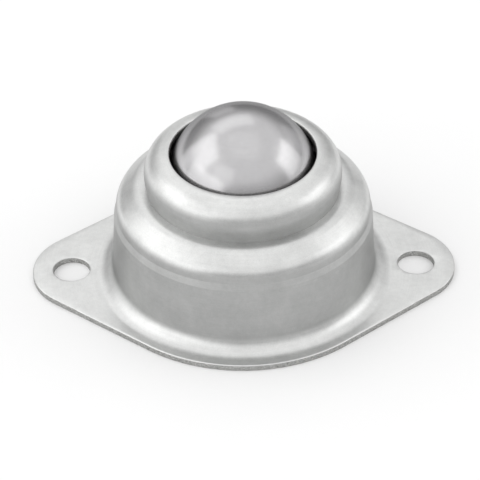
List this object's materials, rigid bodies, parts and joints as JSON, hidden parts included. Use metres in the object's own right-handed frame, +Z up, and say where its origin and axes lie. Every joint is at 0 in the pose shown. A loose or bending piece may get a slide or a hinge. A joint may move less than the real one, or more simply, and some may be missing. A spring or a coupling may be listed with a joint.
{
  "type": "ball transfer unit",
  "caption": "Ball transfer unit: a steel load ball that rolls every way on a bed of small support balls, in a drawn steel housing with an oval two-hole mounting flange.",
  "frame": {"origin": "centre of the underside of the flange, under the load ball", "axes": "+X along the line through both mounting holes, +Y across the flange to the back, +Z up through the load ball"},
  "size_m": [0.074, 0.0536, 0.0334],
  "materials": {
    "housing_steel": "satin zinc plate on drawn sheet",
    "seat_steel": "hardened, oiled, satin",
    "plate_steel": "satin zinc plate",
    "load_ball_steel": "ground and polished",
    "support_ball_steel": "ground and polished"
  },
  "bodies": {
    "frame_unit": {"housing": "housing_steel", "ball_seat": "seat_steel", "base_plate": "plate_steel"},
    "support_set": {"support_ball_01": "support_ball_steel", "support_ball_02": "support_ball_steel", "support_ball_03": "support_ball_steel", "support_ball_04": "support_ball_steel", "support_ball_05": "support_ball_steel", "support_ball_06": "support_ball_steel", "support_ball_07": "support_ball_steel", "support_ball_08": "support_ball_steel", "support_ball_09": "support_ball_steel", "support_ball_10": "support_ball_steel", "support_ball_11": "support_ball_steel", "support_ball_12": "support_ball_steel", "support_ball_13": "support_ball_steel", "support_ball_14": "support_ball_steel", "support_ball_15": "support_ball_steel", "support_ball_16": "support_ball_steel", "support_ball_17": "support_ball_steel", "support_ball_18": "support_ball_steel", "support_ball_19": "support_ball_steel", "support_ball_20": "support_ball_steel", "support_ball_21": "support_ball_steel", "support_ball_22": "support_ball_steel", "support_ball_23": "support_ball_steel", "support_ball_24": "support_ball_steel", "support_ball_25": "support_ball_steel", "support_ball_26": "support_ball_steel", "support_ball_27": "support_ball_steel", "support_ball_28": "support_ball_steel", "support_ball_29": "support_ball_steel", "support_ball_30": "support_ball_steel", "support_ball_31": "support_ball_steel", "support_ball_32": "support_ball_steel", "support_ball_33": "support_ball_steel", "support_ball_34": "support_ball_steel", "support_ball_35": "support_ball_steel", "support_ball_36": "support_ball_steel", "support_ball_37": "support_ball_steel", "support_ball_38": "support_ball_steel", "support_ball_39": "support_ball_steel", "support_ball_40": "support_ball_steel", "support_ball_41": "support_ball_steel", "support_ball_42": "support_ball_steel", "support_ball_43": "support_ball_steel", "support_ball_44": "support_ball_steel", "support_ball_45": "support_ball_steel", "support_ball_46": "support_ball_steel", "support_ball_47": "support_ball_steel", "support_ball_48": "support_ball_steel", "support_ball_49": "support_ball_steel", "support_ball_50": "support_ball_steel", "support_ball_51": "support_ball_steel", "support_ball_52": "support_ball_steel"},
    "rolling_ball": {"load_ball": "load_ball_steel"}
  },
  "joints": [
    {"name": "orbit", "type": "hinge", "parent": "frame_unit", "child": "support_set", "pos_m": [0, 0, 0.02066], "axis": [0, 0, 1], "continuous": true},
    {"name": "roll", "type": "hinge", "parent": "support_set", "child": "rolling_ball", "pos_m": [0, 0, 0.02066], "axis": [1, 0, 0], "continuous": true}
  ]
}
